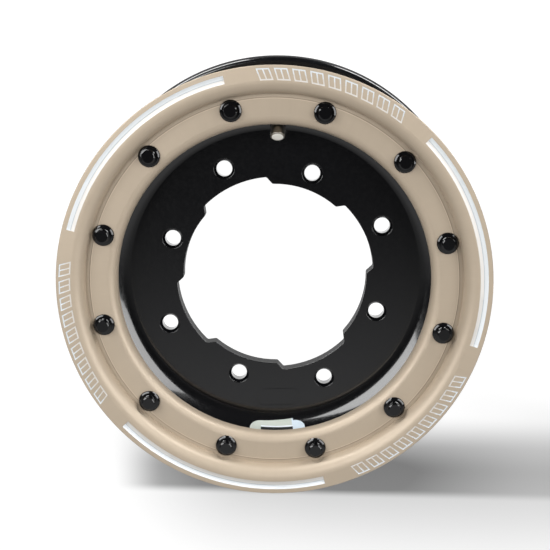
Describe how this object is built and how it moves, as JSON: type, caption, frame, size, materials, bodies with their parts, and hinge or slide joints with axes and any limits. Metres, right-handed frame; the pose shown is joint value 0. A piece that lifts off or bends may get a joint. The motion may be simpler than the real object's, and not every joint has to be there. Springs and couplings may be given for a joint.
{
  "type": "beadlock wheel",
  "caption": "Welded aluminium off-road wheel with a dished mounting disc, lobed centre bore and a bolted outer ring that clamps the tyre bead.",
  "frame": {"origin": "centre of the hub mounting face, the back of the doubled mounting disc", "axes": "+Z along the axle out of the beadlock side, +Y towards the valve; the wheel lies flat on its inboard flange"},
  "size_m": [0.2854, 0.2854, 0.1496],
  "materials": {
    "black_coating": "gloss black powder coat on aluminium",
    "champagne_anodised": "satin champagne anodised, with bare milled grooves",
    "black_bolt": "gloss black plated steel",
    "valve_rubber": "moulded black rubber",
    "brass": "turned brass",
    "soft_seal": "red-brown seal material",
    "spring_steel": "bright spring wire",
    "nickel_plate": "bright nickel plate"
  },
  "bodies": {
    "wheel": {"outer_rim_half": "black_coating", "inner_rim_half": "black_coating", "barrel_weld": "black_coating", "beadlock_base_ring": "black_coating", "base_ring_weld": "black_coating", "beadlock_clamp_ring": "champagne_anodised", "beadlock_bolts": "black_bolt", "valve_rubber_body": "valve_rubber", "valve_stem": "brass", "valve_core_body": "brass", "valve_core_gasket": "soft_seal", "valve_core_spring": "spring_steel"},
    "valve_pin": {"valve_pin": "brass", "valve_pin_seal": "soft_seal"},
    "valve_cap": {"valve_cap": "nickel_plate", "valve_cap_seal": "soft_seal"}
  },
  "joints": [
    {"name": "valve_cap_off", "type": "slide", "parent": "wheel", "child": "valve_cap", "axis": [0, -0.7771, 0.6293], "range_m": [0, 0.02]},
    {"name": "valve_pin_press", "type": "slide", "parent": "wheel", "child": "valve_pin", "axis": [0, -0.7771, 0.6293], "range_m": [-0.0012, 0], "stiffness_N_per_m": 800, "springref_m": 0.005, "deforming": ["valve_core_spring"]}
  ]
}
